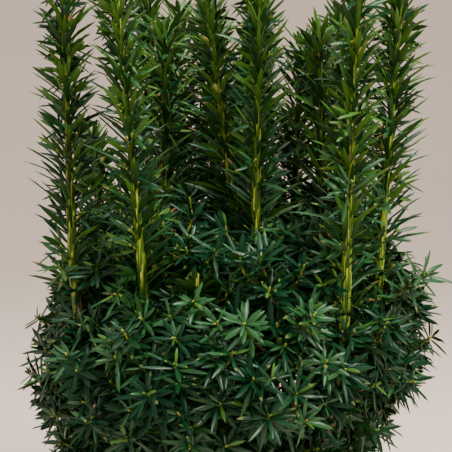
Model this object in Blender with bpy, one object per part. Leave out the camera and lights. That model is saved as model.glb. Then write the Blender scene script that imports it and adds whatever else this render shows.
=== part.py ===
"""A young english yew: a short trunk, rising boughs, upright leaders and a dense bushy crown.

The plant stands rooted at the origin, on a flat cut at ground level, and grows along +Z.
Every mass of needles keeps to its own space, so the pieces never touch.
"""
import math
import random

import bmesh
import bpy
import numpy as np
from mathutils import Vector

# Driving dimensions, in metres and radians
CLEAR = 0.0003              # gap between pieces that meet
TRUNK_TOP = 0.150           # where the trunk ends and the middle leader goes on
TRUNK_BASE_RADIUS = 0.0125
TRUNK_TIP_RADIUS = 0.0058
ROOT_FLARE = 0.0050         # extra radius of the root flare at the ground
BOUGH_ROOT_RADIUS = 0.0036
BOUGH_TIP_RADIUS = 0.0026
COLLAR_LENGTH = 0.0035      # how far a branch collar stands out of the trunk
FOOT_LOW = 0.150            # height of a stem's foot at the crown's rim
FOOT_RISE = 0.036           # how much higher a foot is at the crown's middle
RIM_RADIUS = 0.115
LEADER_CORE_RADIUS = 0.0062 # the slim core that a leader's needles stand out of
LEADER_TIP_RADIUS = 0.0026
BEND = 12.0                 # inward curve of a leader's lower stem, per metre of its radius
SKIRT_TOP = 0.148           # the skirt's masses lie below this height
SKIRT_SLOPE = 0.35          # how fast that limit falls towards the crown's side
SKIRT_EDGE = 0.100          # the radius where it starts to fall
SKIRT_COUNT = 7
SKIRT_ROOT_RADIUS = 0.0027
SKIRT_TIP_RADIUS = 0.0021
NEEDLE_LOW = 0.030          # a leader's needle near its foot
NEEDLE_HIGH = 0.023         # and near its tip
NEEDLE_BASE = 0.0090        # height of a needle's base on a leader's stem
WHORL_STEP = 0.024
WHORL_NEEDLES = 5
ROSETTE_NEEDLE = 0.025
ROSETTE_NEEDLES = 7
ROSETTE_HUB = 0.28          # a rosette's hub, as a part of its needle's length
ROSETTE_CUP = 0.50          # how far a rosette's needles tilt forward
TWIG_RADIUS = 0.0015
FORK_STEP = 0.0042          # least distance between two twigs' starts on a stem
CROWN_STEM_TIP = 0.0022
SITE_COUNT = 270            # rosettes dealt out over the crown's surface
CORE_DEPTH = 0.017          # how far the cores stay below the crown's surface
CORE_SIDES = 6
CORE_REACH = 0.040
SKIRT_CORE_REACH = 0.024
CORE_LEAST = 0.0034
CORE_LIMB_GAP = 0.0022
CORE_SPOTS = [(u / 4.0, v / 4.0) for u in range(5) for v in range(5 - u)]
CORE_TRIALS = 12            # how often a core's wall is drawn in to clear a limb
MARGIN = 0.0009             # half of the gap between two neighbouring masses
LIMB_MARGIN = 0.0012        # gap between needles and a limb they don't grow on
NEEDLE_GAP = 0.0026         # gap between two needles of one mass
GOLDEN_ANGLE = math.pi * (3.0 - math.sqrt(5.0))

# Crown surface, from its low rim to the top of the bush: (radius, height)
CROWN_PROFILE = (
    (0.030, 0.046),
    (0.082, 0.062),
    (0.108, 0.085),
    (0.124, 0.109),
    (0.143, 0.150),
    (0.153, 0.190),
    (0.152, 0.222),
    (0.138, 0.250),
    (0.108, 0.274),
    (0.060, 0.292),
    (0.000, 0.298),
)
DOME_START = 6              # the row of the profile where the crown's side turns into its top

# Leaders: where each leaves the bush (x, y, z), and its tip (x, y, z)
LEADERS = (
    (-0.112, -0.050, 0.265, -0.118, -0.052, 0.468),
    (-0.060, -0.083, 0.250, -0.079, -0.085, 0.466),
    (0.004, -0.022, 0.287, -0.017, -0.030, 0.446),
    (0.018, -0.050, 0.287, 0.021, -0.054, 0.458),
    (0.077, -0.096, 0.230, 0.086, -0.099, 0.478),
    (0.105, -0.052, 0.245, 0.121, -0.058, 0.474),
    (-0.098, 0.035, 0.245, -0.107, 0.038, 0.351),
    (-0.053, 0.040, 0.275, -0.050, 0.045, 0.430),
    (0.011, 0.028, 0.290, 0.010, 0.034, 0.404),
    (0.050, 0.056, 0.275, 0.057, 0.060, 0.424),
    (0.072, 0.009, 0.280, 0.067, 0.012, 0.428),
    (0.094, 0.062, 0.250, 0.086, 0.068, 0.446),
    (-0.012, 0.076, 0.275, -0.016, 0.080, 0.448),
    (-0.064, 0.086, 0.250, -0.067, 0.092, 0.470),
    (0.026, 0.108, 0.245, 0.024, 0.112, 0.452),
    (-0.036, 0.118, 0.240, -0.043, 0.122, 0.455),
)
TRUNK_LEADER = 2            # the leader that stands on the trunk itself

# Crown masses without a leader: their place in plan (x, y)
CROWN_PLACES = (
    (-0.022, -0.110),
    (0.032, -0.112),
    (-0.118, -0.006),
    (-0.104, 0.082),
    (0.070, 0.104),
    (0.120, 0.006),
    (-0.058, -0.022),
    (0.064, -0.046),
)
CROWN_TIP_DEPTH = 0.016     # how far a crown mass's stem ends below the bush's top


def clean_start():
    """Remove every object, so that the part starts from an empty scene."""
    for old in list(bpy.data.objects):
        bpy.data.objects.remove(old, do_unlink=True)


def principled(name, colour, roughness):
    """A plain Principled material."""
    made = bpy.data.materials.new(name)
    made.use_nodes = True
    shader = made.node_tree.nodes["Principled BSDF"]
    shader.inputs["Base Color"].default_value = (*colour, 1.0)
    shader.inputs["Roughness"].default_value = roughness
    shader.inputs["Metallic"].default_value = 0.0
    made.diffuse_color = (*colour, 1.0)
    return made


def mesh_object(name, points, faces, material, collection):
    """A closed mesh whose faces point outward."""
    mesh = bpy.data.meshes.new(name)
    mesh.from_pydata([tuple(p) for p in points], [], faces)
    work = bmesh.new()
    work.from_mesh(mesh)
    bmesh.ops.recalc_face_normals(work, faces=work.faces)
    work.to_mesh(mesh)
    work.free()
    mesh.materials.append(material)
    made = bpy.data.objects.new(name, mesh)
    collection.objects.link(made)
    return made


def across(direction):
    """Two unit vectors square to a direction and to each other."""
    side = Vector((0.0, 0.0, 1.0)).cross(direction)
    if side.length < 0.2 * direction.length:
        side = Vector((1.0, 0.0, 0.0)).cross(direction)
    side.normalize()
    return side, direction.normalized().cross(side)


def ring(centre, direction, start_side, radius, sides, turn=0.0):
    """Points round a centre, square to a direction, that begin on the side given."""
    ahead = direction.normalized()
    side = (start_side - ahead * start_side.dot(ahead)).normalized()
    up = ahead.cross(side)
    angles = [turn + 2.0 * math.pi * k / sides for k in range(sides)]
    return [centre + radius * (math.cos(a) * side + math.sin(a) * up) for a in angles]


def band(first, sides, skipped=()):
    """Faces between a ring that starts at point first and the next ring, with some sides left open."""
    faces = []
    for k in range(sides):
        if k in skipped:
            continue
        a = first + k
        b = first + (k + 1) % sides
        faces.append((a, b, b + sides))
        faces.append((a, b + sides, a + sides))
    return faces


def cap(first, sides):
    """Faces that close a ring."""
    return [(first, first + k, first + k + 1) for k in range(1, sides - 1)]


def tube(name, path, radii, sides, cuts, material, collection):
    """A tapering limb along a path, with a flat cut at both ends, square to the two directions in cuts."""
    start_side = across(path[-1] - path[0])[0]
    headings = [b - a for a, b in zip(path, path[2:])]
    headings = [cuts[0]] + headings + [cuts[1]]
    points = []
    faces = cap(0, sides)
    for centre, heading, radius in zip(path, headings, radii):
        points.extend(ring(centre, heading, start_side, radius, sides))
    for step in range(len(path) - 1):
        faces.extend(band(step * sides, sides))
    faces.extend(cap((len(path) - 1) * sides, sides))
    return mesh_object(name, points, faces, material, collection)


def bezier(start, middle, end, t):
    """A point on the curve that leaves start for middle and comes to rest at end."""
    return start.lerp(middle, t).lerp(middle.lerp(end, t), t)


def path_length(path):
    """A path's whole length."""
    return sum((b - a).length for a, b in zip(path, path[1:]))


def along(path, distance):
    """The point of a path at a distance from its start."""
    walked = 0.0
    for a, b in zip(path, path[1:]):
        step = (b - a).length
        if walked + step >= distance:
            return a.lerp(b, (distance - walked) / step)
        walked += step
    return path[-1].copy()


def heading_at(path, distance):
    """The direction of a path at a distance from its start."""
    return along(path, distance + 0.001) - along(path, distance - 0.001)


def sub_path(path, first, last, steps):
    """Evenly spaced points of a path between two distances."""
    return [along(path, first + (last - first) * k / steps) for k in range(steps + 1)]


def blend(a, b, count):
    """Evenly spaced values from a to b."""
    return [a + (b - a) * k / (count - 1) for k in range(count)]


def leader_axis(row, z):
    """The point of a leader's stem at height z: straight above, curved inward below."""
    low = Vector(row[0:3])
    tip = Vector(row[3:6])
    place = low + (tip - low) * ((z - low.z) / (tip.z - low.z))
    drop = max(0.0, low.z - z)
    return place - Vector((low.x, low.y, 0.0)) * BEND * drop * drop


def crown_radius(z):
    """The crown's radius at a height, on its side."""
    for (r0, z0), (r1, z1) in zip(CROWN_PROFILE, CROWN_PROFILE[1:]):
        if z0 <= z <= z1:
            return r0 + (r1 - r0) * (z - z0) / (z1 - z0)
    return 0.0


def crown_centre(z):
    """The crown leans a little: wider on the left low down, and on the right higher up."""
    return max(-0.014, min(0.006, 0.16 * (z - 0.190)))


def dome_height(radius):
    """The height of the bush's top at a distance from the middle."""
    rows = CROWN_PROFILE[:DOME_START - 1:-1]
    for (r0, z0), (r1, z1) in zip(rows, rows[1:]):
        if r0 <= radius <= r1:
            return z0 + (z1 - z0) * (radius - r0) / (r1 - r0)
    return rows[-1][1]


def shell_depth(point):
    """How far a point lies inside the crown's surface."""
    side = crown_radius(point.z) - math.hypot(point.x - crown_centre(point.z), point.y)
    return min(side * 0.85, dome_height(math.hypot(point.x, point.y)) - point.z)


def split_height(point):
    """The height that parts the skirt from the upper masses."""
    return SKIRT_TOP - SKIRT_SLOPE * max(0.0, math.hypot(point.x, point.y) - SKIRT_EDGE)


def foot_height(x, y):
    """A stem's foot is highest at the middle of the crown."""
    return FOOT_LOW + FOOT_RISE * (1.0 - min(1.0, math.hypot(x, y) / RIM_RADIUS))


class Mass:
    """One mass of needles on an upright stem."""

    def __init__(self, name, row, foot, top, reach):
        self.name = name
        self.row = row
        self.foot = foot
        self.top = top
        self.reach = reach
        self.is_leader = name.startswith("leader")
        self.on_trunk = False
        self.bough = name.replace("_", "_bough_")

    def axis(self, z):
        """The point of this mass's stem at height z."""
        return leader_axis(self.row, z)

    def heading(self, z):
        """The direction of this mass's stem at height z."""
        return self.axis(z + 0.002) - self.axis(z - 0.002)


def plan_masses():
    """The leaders' masses and the crown's masses, with their stems."""
    masses = []
    for index, row in enumerate(LEADERS):
        foot = foot_height(row[0], row[1])
        if index == TRUNK_LEADER:
            foot = TRUNK_TOP + CLEAR
        masses.append(Mass("leader_%02d" % (index + 1), row, foot, row[5], row[5] + 0.04))
    masses[TRUNK_LEADER].on_trunk = True
    for index, (x, y) in enumerate(CROWN_PLACES):
        high = dome_height(math.hypot(x, y)) - CROWN_TIP_DEPTH
        row = (x, y, high, x * 1.02, y * 1.02, high + 0.10)
        name = "crown_%02d" % (index + 1)
        masses.append(Mass(name, row, foot_height(x, y), high, high + 0.034))
    return masses


def trunk_axis(z, masses):
    """The trunk leans towards the leader that stands on it."""
    end = masses[TRUNK_LEADER].axis(TRUNK_TOP)
    lean = max(0.0, z / TRUNK_TOP) ** 1.6
    return Vector((end.x * lean, end.y * lean, z))


def trunk_radius(z):
    """Straight taper, with a flare that dies out above the ground."""
    taper = TRUNK_BASE_RADIUS + (TRUNK_TIP_RADIUS - TRUNK_BASE_RADIUS) * z / TRUNK_TOP
    return taper + ROOT_FLARE * math.exp(-z / 0.009)


def bough_paths(masses):
    """Each bough's path from inside the trunk to its mass's foot: the widest leaves lowest."""
    order = [m for m in masses if m is not masses[TRUNK_LEADER]]
    order.sort(key=lambda m: -math.hypot(m.axis(m.foot).x, m.axis(m.foot).y))
    exits = blend(0.040, TRUNK_TOP - 0.010, len(order))
    paths = {}
    for z, mass in zip(exits, order):
        start = trunk_axis(z, masses)
        end = mass.axis(mass.foot)
        tangent = (mass.axis(mass.foot + 0.004) - end).normalized()
        level = Vector((end.x - start.x, end.y - start.y, 0.0))
        middle = start + level * 0.52 + Vector((0.0, 0.0, (end.z - start.z) * 0.34))
        last = end - tangent * 0.012
        line = [bezier(start, middle, last, k / 8.0) for k in range(9)]
        line.append(end - tangent * CLEAR)
        paths[mass.name] = line
    return paths


def skirt_lines(masses):
    """The stems of the skirt, each from inside the trunk out to the crown's side."""
    lines = []
    for k in range(SKIRT_COUNT):
        angle = 2.0 * math.pi * (k + 0.5) / SKIRT_COUNT
        ray = Vector((math.cos(angle), math.sin(angle), 0.0))
        start = trunk_axis(0.022 + 0.006 * (k % 2), masses)
        reach = 0.100 + crown_centre(0.12) * ray.x
        end = Vector((ray.x * reach, ray.y * reach, 0.112))
        middle = start + ray * reach * 0.58 + Vector((0.0, 0.0, 0.016))
        lines.append([bezier(start, middle, end, t / 7.0) for t in range(8)])
    return lines


def collar_end(path, masses):
    """How far along a path a branch collar ends."""
    distance = 0.0
    while distance < path_length(path):
        place = along(path, distance)
        core = trunk_axis(place.z, masses)
        if (place - core).length > trunk_radius(place.z) + COLLAR_LENGTH:
            return distance
        distance += 0.0005
    return distance


class Space:
    """Says how far a point is from the walls of a mass's space, and from the limbs."""

    def __init__(self, masses, limbs):
        self.low = np.array([mass.row[0:3] for mass in masses])
        self.tip = np.array([mass.row[3:6] for mass in masses])
        self.reach = np.array([mass.reach for mass in masses])
        self.foot = np.array([mass.foot for mass in masses])
        self.order = {mass.name: k for k, mass in enumerate(masses)}
        self.starts = np.array([tuple(a) for _, path, _ in limbs for a in path[:-1]])
        self.ends = np.array([tuple(b) for _, path, _ in limbs for b in path[1:]])
        self.first = np.array([r for _, _, radii in limbs for r in radii[:-1]])
        self.last = np.array([r for _, _, radii in limbs for r in radii[1:]])
        self.names = np.array([name for name, path, _ in limbs for _ in path[1:]])

    def stems(self, z):
        """The plan places of every upper stem at height z."""
        part = (z - self.low[:, 2]) / (self.tip[:, 2] - self.low[:, 2])
        place = self.low[:, :2] + (self.tip - self.low)[:, :2] * part[:, None]
        drop = np.maximum(0.0, self.low[:, 2] - z)
        return place - self.low[:, :2] * BEND * (drop * drop)[:, None]

    def wall_gap(self, mass, point):
        """The distance to the wall halfway between two neighbouring stems."""
        gap = min(mass.reach - point.z, point.z - split_height(point) - MARGIN)
        places = self.stems(point.z)
        own = self.order[mass.name]
        away = ((places - np.array((point.x, point.y))) ** 2).sum(axis=1)
        apart = np.hypot(*(places - places[own]).T)
        apart[own] = 1.0
        walls = (away - away[own]) / (2.0 * apart)
        walls[own] = 1.0
        walls[(point.z > self.reach) | (point.z < self.foot - 0.05)] = 1.0
        return min(gap, float(walls.min()))

    def limb_gap(self, point, own):
        """The distance from a point to the nearest limb other than its own."""
        line = self.ends - self.starts
        offset = np.array(tuple(point)) - self.starts
        part = np.clip((offset * line).sum(axis=1) / (line * line).sum(axis=1), 0.0, 1.0)
        away = np.linalg.norm(offset - line * part[:, None], axis=1)
        gaps = away - self.first - (self.last - self.first) * part
        return float(gaps[self.names != own].min())


class Wedge:
    """The space of one mass of the skirt: a wedge under the crown's upper masses."""

    def __init__(self, space, middle):
        self.space = space
        self.middle = middle
        self.half = math.pi / SKIRT_COUNT

    def wall_gap(self, mass, point):
        """The distance to the wedge's two sides, its top and the ground."""
        angle = math.atan2(point.y, point.x) - self.middle
        angle = (angle + math.pi) % (2.0 * math.pi) - math.pi
        radius = math.hypot(point.x, point.y)
        if abs(angle) > self.half:
            return -1.0
        wall = radius * math.sin(self.half - abs(angle))
        return min(wall, split_height(point) - point.z, point.z - 0.003)

    def limb_gap(self, point, own):
        """The distance to the nearest limb."""
        return self.space.limb_gap(point, own)


class Grower:
    """Grows the needles and twigs of one mass, and keeps them apart from each other."""

    def __init__(self, space, mass, own):
        self.space = space
        self.mass = mass
        self.own = own
        self.placed = []
        self.forks = []
        self.stem_points = []

    def claim(self, value, least):
        """The nearest place at or below value on the stem where no twig starts yet."""
        while any(abs(value - used) < FORK_STEP for used in self.forks):
            value -= FORK_STEP * 0.5
        if value < least:
            return None
        return value

    def free(self, start, end, gap, skip):
        """Whether a line keeps clear of walls, limbs and earlier needles, beyond a distance skip."""
        length = (end - start).length
        count = max(2, int(length / 0.003) + 1)
        for k in range(count + 1):
            if length * k / count < skip:
                continue
            place = start.lerp(end, k / count)
            if self.space.wall_gap(self.mass, place) < MARGIN + gap * 0.25:
                return False
            if self.space.limb_gap(place, self.own) < LIMB_MARGIN:
                return False
            if any((place - other).length < gap for other in self.placed):
                return False
        return True

    def limit(self, start, tip, skip):
        """Pull a needle's tip back until the needle is free, or give nothing."""
        for part in (1.0, 0.85, 0.70, 0.55):
            trial = start.lerp(tip, part)
            if self.free(start, trial, NEEDLE_GAP, skip):
                return trial
        return None

    def keep(self, start, end, skip):
        """Remember a line beyond a distance skip, so that later ones stay clear of it."""
        length = (end - start).length
        count = max(2, int(length / 0.003) + 1)
        for k in range(count + 1):
            if length * k / count >= skip:
                self.placed.append(start.lerp(end, k / count))

    def leader(self, name, axis, foot, shown, top, radii, material, collection):
        """A leader's stem with whorls of needles that stand on its sides, as one body."""
        sides = WHORL_NEEDLES
        levels = [(z, None) for z in (foot, (foot + shown) / 2.0, shown - 0.012)]
        steps = max(2, int((top - shown) / WHORL_STEP))
        for k, z in enumerate(blend(shown, top - NEEDLE_BASE, steps + 1)):
            levels.append((z, k / steps))
            levels.append((z + NEEDLE_BASE, None))
        points = []
        faces = cap(0, sides)
        needles = []
        turn = 0.0
        for index, (z, part) in enumerate(levels):
            radius = radii[0]
            if index > 2:
                radius = radii[1] + (radii[2] - radii[1]) * (z - shown) / (top - shown)
            ahead = axis(z + 0.002) - axis(z - 0.002)
            if index == 0 and self.mass.on_trunk:
                ahead = Vector((0.0, 0.0, 1.0))
            points.extend(ring(axis(z), ahead, Vector((1.0, 0.0, 0.0)), radius, sides, turn))
            if part is None:
                turn += math.pi / sides if index > 2 else 0.0
            else:
                needles.append((index, part))
        whorls = dict(needles)
        for index in range(len(levels) - 1):
            first = index * sides
            if index not in whorls:
                faces.extend(band(first, sides))
                continue
            open_sides = []
            part = whorls[index]
            tilt = math.radians(62.0 if part > 0.99 else 32.0 + 14.0 * part)
            for k in range(sides):
                corners = [first + k, first + (k + 1) % sides]
                corners += [corners[1] + sides, corners[0] + sides]
                base = sum((points[c] for c in corners), Vector()) / 4.0
                centre = axis(base.z)
                out = Vector((base.x - centre.x, base.y - centre.y, 0.0)).normalized()
                length = NEEDLE_LOW + (NEEDLE_HIGH - NEEDLE_LOW) * part
                ray = out * math.cos(tilt) + Vector((0.0, 0.0, math.sin(tilt)))
                tip = self.limit(base, base + ray * length, 0.004)
                if tip is None:
                    continue
                self.keep(base, tip, 0.004)
                open_sides.append(k)
                points.append(tip)
                needles.append((corners, tip))
            faces.extend(band(first, sides, open_sides))
        tips = [entry for entry in needles if isinstance(entry[0], list)]
        base_count = len(levels) * sides
        for number, (corners, tip) in enumerate(tips):
            for a, b in zip(corners, corners[1:] + corners[:1]):
                faces.append((a, b, base_count + number))
        faces.extend(cap((len(levels) - 1) * sides, sides))
        return mesh_object(name, points, faces, material, collection)

    def spray(self, name, path, centre, axis, length, count, spin, material, collection):
        """A twig that ends in a cup of needles, as one body, or nothing where it has no room."""
        if (centre - path[1]).normalized().dot(axis) < 0.25:
            return None
        if not self.free(path[0], path[1], TWIG_RADIUS * 2.4, 0.0065):
            return None
        if not self.free(path[1], centre, TWIG_RADIUS * 2.4, 0.0):
            return None
        for place in (path[1], path[1].lerp(centre, 0.5), centre):
            if any((place - other).length < 0.0055 for other in self.stem_points):
                return None
        side, up = across(axis)
        hub = length * ROSETTE_HUB
        points = []
        radii = (TWIG_RADIUS, TWIG_RADIUS * 0.95, TWIG_RADIUS * 0.85)
        line = (path[0], path[1], centre - axis * length * 0.09)
        headings = (line[1] - line[0], line[2] - line[0], axis)
        turned = axis.rotation_difference(headings[1]) @ side
        sides = (headings[1].rotation_difference(headings[0]) @ turned, turned, side)
        for step, place in enumerate(line):
            points.extend(ring(place, headings[step], sides[step], radii[step], 3, spin))
        rim = []
        kept = []
        for k in range(count):
            angle = spin + 2.0 * math.pi * k / count
            out = math.cos(angle) * side + math.sin(angle) * up
            ray = out * math.cos(ROSETTE_CUP) + axis * math.sin(ROSETTE_CUP)
            start = centre + out * hub * 0.8
            tip = self.limit(start, centre + ray * length, 0.0)
            if tip is None:
                tip = centre + out * hub * 1.1
            else:
                kept.append((start, tip))
            rim.append(tip)
            half = angle + math.pi / count
            out = math.cos(half) * side + math.sin(half) * up
            rim.append(centre + (out + axis * 0.25) * hub)
        if len(kept) < count - 3:
            return None
        faces = cap(0, 3) + band(0, 3) + band(3, 3)
        first = len(points)
        points.extend(rim)
        points.append(centre + axis * length * 0.10)
        front = len(points) - 1
        total = len(rim)
        for j in range(total):
            n = (j + 1) % total
            back = 6 + int(3.0 * j / total)
            faces.append((front, first + j, first + n))
            faces.append((back, first + n, first + j))
            after = 6 + int(3.0 * n / total)
            if after != back:
                faces.append((back, after, first + n))
        for start, tip in kept:
            self.keep(start, tip, 0.0)
        self.keep(path[0], path[1], 0.004)
        self.keep(path[1], centre, 0.0)
        return mesh_object(name, points, faces, material, collection)


def core_fits(grower, point):
    """Whether a point may lie inside a core."""
    if shell_depth(point) < CORE_DEPTH or grower.space.wall_gap(grower.mass, point) < 0.0015:
        return False
    return grower.space.limb_gap(point, grower.own) > CORE_LIMB_GAP


def core_body(grower, name, path, most, material, parts):
    """A many-sided core along a path, inside the mass's space and well under the crown's surface."""
    sides = CORE_SIDES
    start_side = across(path[-1] - path[0])[0]
    rays = []
    reach = []
    for before, centre, after in zip(path, path[1:], path[2:]):
        for rim in ring(centre, after - before, start_side, 1.0, sides):
            rays.append((centre, rim - centre))
            far = 0.004
            while far < most and core_fits(grower, centre + (rim - centre) * far):
                far += 0.002
            reach.append(far - 0.002)
    walls = []
    for step in range(len(path) - 3):
        walls.extend(band(step * sides, sides))
    tight = set(range(len(reach)))
    for _ in range(CORE_TRIALS):
        moved = tight
        tight = set()
        for wall in walls:
            if moved.isdisjoint(wall):
                continue
            a, b, c = [rays[k][0] + rays[k][1] * reach[k] for k in wall]
            middle = sum((rays[k][0] for k in wall), Vector()) / 3.0
            spots = [a * u + b * v + c * (1.0 - u - v) for u, v in CORE_SPOTS]
            spots += [middle.lerp(spot, part) for spot in spots for part in (0.40, 0.60, 0.80)]
            if not all(core_fits(grower, spot) for spot in spots):
                tight.update(wall)
        for k in tight:
            reach[k] *= 0.88
    points = [path[0]]
    points += [centre + ray * max(CORE_LEAST, far) for (centre, ray), far in zip(rays, reach)]
    points.append(path[-1])
    top = len(points) - 1
    last = top - sides
    faces = []
    for k in range(sides):
        n = (k + 1) % sides
        faces.append((0, 1 + n, 1 + k))
        faces.append((top, last + k, last + n))
    faces.extend(tuple(1 + k for k in wall) for wall in walls)
    mesh_object(name, points, faces, material, parts)


def crown_sites():
    """Places dealt out evenly over the crown's surface by the golden angle, with their normals."""
    strips = []
    total = 0.0
    for (r0, z0), (r1, z1) in zip(CROWN_PROFILE, CROWN_PROFILE[1:]):
        area = math.hypot(r1 - r0, z1 - z0) * (r0 + r1)
        strips.append((total, area, r0, z0, r1, z1))
        total += area
    sites = []
    for k in range(SITE_COUNT):
        wanted = total * (k + 0.5) / SITE_COUNT
        before, area, r0, z0, r1, z1 = [strip for strip in strips if strip[0] <= wanted][-1]
        part = (wanted - before) / area
        radius = r0 + (r1 - r0) * part
        z = z0 + (z1 - z0) * part
        angle = k * GOLDEN_ANGLE
        out = Vector((math.cos(angle), math.sin(angle), 0.0))
        normal = (out * (z1 - z0) + Vector((0.0, 0.0, r0 - r1))).normalized()
        sites.append((out * radius + Vector((crown_centre(z), 0.0, z)), normal))
    return sites


def union(base, collection):
    """Join a collection's bodies to a base body, then clear the collection."""
    joined = base.modifiers.new("join", "BOOLEAN")
    joined.operation = "UNION"
    joined.operand_type = "COLLECTION"
    joined.collection = collection
    joined.solver = "EXACT"
    graph = bpy.context.evaluated_depsgraph_get()
    mesh = bpy.data.meshes.new_from_object(base.evaluated_get(graph))
    base.modifiers.remove(joined)
    material = base.data.materials[0]
    base.data = mesh
    mesh.name = base.name
    mesh.materials.clear()
    mesh.materials.append(material)
    for used in list(collection.objects):
        bpy.data.objects.remove(used, do_unlink=True)
    keep_main_body(mesh)


def keep_main_body(mesh):
    """Weld, drop slivers, and keep only the outer surface of the largest body."""
    work = bmesh.new()
    work.from_mesh(mesh)
    bmesh.ops.remove_doubles(work, verts=work.verts, dist=0.000008)
    bmesh.ops.dissolve_degenerate(work, edges=work.edges, dist=0.000004)
    bmesh.ops.triangulate(work, faces=work.faces)
    left = set(work.faces)
    groups = []
    while left:
        seed = left.pop()
        group = {seed}
        front = [seed]
        while front:
            face = front.pop()
            near = [other for edge in face.edges for other in edge.link_faces]
            fresh = {other for other in near if other not in group}
            group.update(fresh)
            front.extend(fresh)
        left -= group
        groups.append(group)
    groups.sort(key=len)
    spare = [face for group in groups[:-1] for face in group]
    bmesh.ops.delete(work, geom=spare, context="FACES")
    bmesh.ops.recalc_face_normals(work, faces=work.faces)
    work.to_mesh(mesh)
    work.free()


def build_trunk(masses, collars, material, scene, parts):
    """The trunk with its root flare and one collar for each limb that leaves it."""
    heights = (0.0, 0.004, 0.010, 0.022, 0.060, 0.105, TRUNK_TOP)
    sides = 10
    points = []
    faces = []
    for z in heights:
        flare = math.exp(-z / 0.012)
        for k in range(sides):
            angle = 2.0 * math.pi * k / sides
            radius = trunk_radius(z) * (1.0 + 0.16 * flare * math.cos(5.0 * angle + 0.6))
            out = Vector((math.cos(angle), math.sin(angle), 0.0))
            points.append(trunk_axis(z, masses) + out * radius)
    for step in range(len(heights) - 1):
        faces.extend(band(step * sides, sides))
    faces.extend(cap((len(heights) - 1) * sides, sides))
    points.append(Vector((0.0, 0.0, 0.0)))
    faces.extend((len(points) - 1, k, (k + 1) % sides) for k in range(sides))
    trunk = mesh_object("trunk", points, faces, material, scene)
    for index, (path, end, radius) in enumerate(collars):
        line = [along(path, 0.002), along(path, end)]
        cuts = (line[1] - line[0], heading_at(path, end))
        tube("collar_%d" % index, line, [radius * 1.3, radius], 5, cuts, material, parts)
    union(trunk, parts)


def grow_sprays(grower, name, sites, low, high, fork, stem_at, material, parts):
    """Grow a twig and its rosette to each site that the mass owns."""
    rng = random.Random(name)
    for index, (place, normal) in enumerate(sites):
        if not low < place.z < high or grower.space.wall_gap(grower.mass, place) < 0.003:
            continue
        axis = (normal * 0.82 + Vector((0.0, 0.0, 0.42))).normalized()
        centre = place - axis * ROSETTE_NEEDLE * 0.55
        value = fork(centre)
        if value is None:
            continue
        start = stem_at(value)
        bend = start.lerp(centre, 0.60) - axis * 0.004
        path = [start, bezier(start, bend, centre, 0.5)]
        length = ROSETTE_NEEDLE * rng.uniform(0.94, 1.06)
        label = "%s_spray_%d" % (name, index)
        spin = rng.uniform(0.0, 1.0)
        made = grower.spray(label, path, centre, axis, length, ROSETTE_NEEDLES, spin, material, parts)
        if made:
            grower.forks.append(value)


def build_upper_mass(space, mass, sites, radius, material, scene, parts):
    """A stem that goes on from its bough, its twigs and rosettes, and its leader if it has one."""
    grower = Grower(space, mass, None)
    place = mass.axis(mass.row[2])
    roof = dome_height(math.hypot(place.x, place.y))
    if mass.is_leader:
        shown = min(roof, mass.row[2]) - 0.004
        radii = (radius, LEADER_CORE_RADIUS, LEADER_TIP_RADIUS)
        args = (mass.name, mass.axis, mass.foot, shown, mass.row[5], radii, material, scene)
        stem = grower.leader(*args)
    else:
        path = [mass.axis(z) for z in blend(mass.foot, mass.top - 0.010, 4)]
        up = Vector((0.0, 0.0, 1.0))
        cuts = (mass.heading(mass.foot), up)
        stem = tube(mass.name, path, blend(radius, CROWN_STEM_TIP, 4), 5, cuts, material, scene)
        centre = mass.axis(mass.top)
        first = [mass.axis(mass.top - 0.014), mass.axis(mass.top - 0.007)]
        grower.spray(mass.name + "_tip", first, centre, up, 0.026, 7, 0.2, material, parts)
    levels = blend(mass.foot + 0.004, roof - CORE_DEPTH, 5)
    core_body(grower, mass.name + "_core", [mass.axis(z) for z in levels], CORE_REACH, material, parts)

    def fork(centre):
        """Where on the stem a twig to this centre starts."""
        stem_point = mass.axis(centre.z)
        level = math.hypot(centre.x - stem_point.x, centre.y - stem_point.y)
        if level < 0.013:
            return None
        z = max(mass.foot + 0.018, min(centre.z - 0.75 * level, mass.top - 0.016))
        return grower.claim(z, mass.foot + 0.005)

    low = SKIRT_TOP - 0.008
    grow_sprays(grower, mass.name, sites, low, 1.0, fork, mass.axis, material, parts)
    union(stem, parts)


def build_skirt_mass(space, number, line, root, sites, material, scene, parts):
    """A low mass: its stem arches out from the trunk, with twigs to the crown's underside."""
    name = "skirt_%02d" % number
    middle = 2.0 * math.pi * (number - 0.5) / SKIRT_COUNT
    grower = Grower(Wedge(space, middle), None, name)
    whole = path_length(line)
    ahead = (line[-1] - line[-2]).normalized()
    radii = blend(SKIRT_ROOT_RADIUS, SKIRT_TIP_RADIUS, len(line))
    stem = tube(name, line, radii, 5, (root, ahead), material, scene)
    first = [line[-1] - ahead * 0.010, line[-1] - ahead * 0.004]
    tip = line[-1] + ahead * 0.004
    grower.spray(name + "_tip", first, tip, ahead, 0.025, 7, 0.3, material, parts)

    core_body(grower, name + "_core", sub_path(line, whole * 0.40, whole, 5), SKIRT_CORE_REACH, material, parts)

    def fork(centre):
        """Where on the stem a twig to this centre starts."""
        away = [(along(line, whole * k / 20.0) - centre).length for k in range(21)]
        near = min(range(21), key=lambda k: away[k])
        if away[near] < 0.013:
            return None
        back = whole * near / 20.0 - 0.55 * away[near]
        return grower.claim(max(whole * 0.25, min(whole - 0.012, back)), 0.010)

    def stem_at(distance):
        """The point of the stem at a distance from its foot."""
        return along(line, distance)

    grower.stem_points = sub_path(line, 0.0, whole, 30)
    grow_sprays(grower, name, sites, 0.0, SKIRT_TOP - 0.004, fork, stem_at, material, parts)
    union(stem, parts)


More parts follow.
